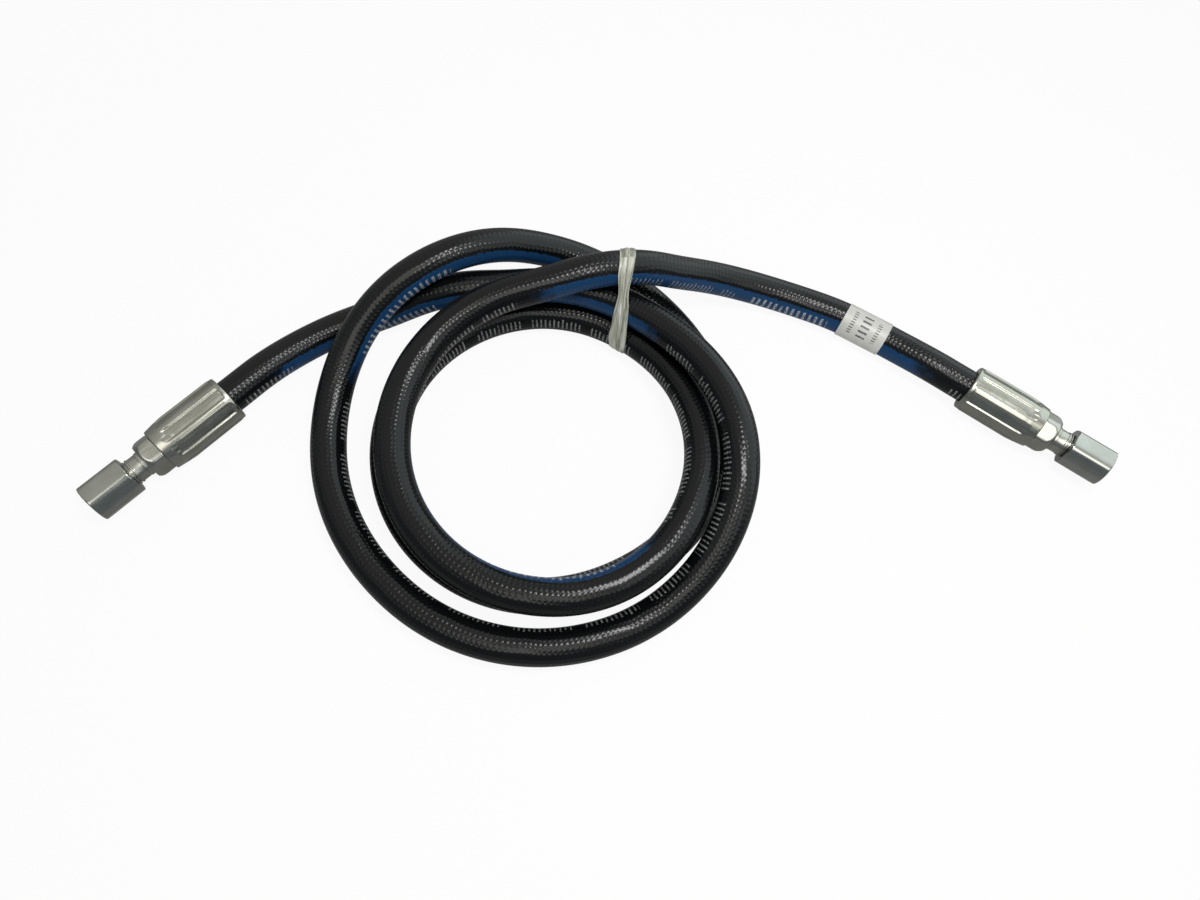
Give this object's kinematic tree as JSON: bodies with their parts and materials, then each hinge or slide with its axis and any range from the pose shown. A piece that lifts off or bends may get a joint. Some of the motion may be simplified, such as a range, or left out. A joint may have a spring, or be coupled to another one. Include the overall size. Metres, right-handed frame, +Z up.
{
  "type": "hydraulic hose assembly",
  "caption": "Coiled rubber hydraulic hose with a crimped female swivel-nut fitting on each end, tied with a strip of film.",
  "frame": {"origin": "on the ground plane, under the middle of the two fittings' bounding box", "axes": "+X from the left fitting to the right one, +Y away from the nuts towards the top of the coil, +Z up"},
  "size_m": [0.3811, 0.1649, 0.0401],
  "materials": {
    "cover_rubber": "cloth-wrapped satin",
    "tube_rubber": "smooth",
    "braid_wire": "braided wire",
    "plated_steel": "zinc plated",
    "film": "translucent film",
    "label_film": "printed film"
  },
  "bodies": {
    "hose": {"left_stem": "plated_steel", "left_ferrule": "plated_steel", "right_stem": "plated_steel", "right_ferrule": "plated_steel", "hose_left_run": "cover_rubber", "hose_coil": "cover_rubber", "hose_right_run": "cover_rubber", "wire_braid": "braid_wire", "inner_tube": "tube_rubber", "coil_tie": "film", "id_label": "label_film"},
    "left_swivel": {"left_nut": "plated_steel"},
    "right_swivel": {"right_nut": "plated_steel"}
  },
  "joints": [
    {"name": "left_nut_turn", "type": "hinge", "parent": "hose", "child": "left_swivel", "pos_m": [-0.17474, -0.01739, 0.00925], "axis": [-0.682, -0.7314, 0], "continuous": true},
    {"name": "right_nut_turn", "type": "hinge", "parent": "hose", "child": "right_swivel", "pos_m": [0.17422, 0.00149, 0.00925], "axis": [0.8192, -0.5736, 0], "continuous": true}
  ]
}
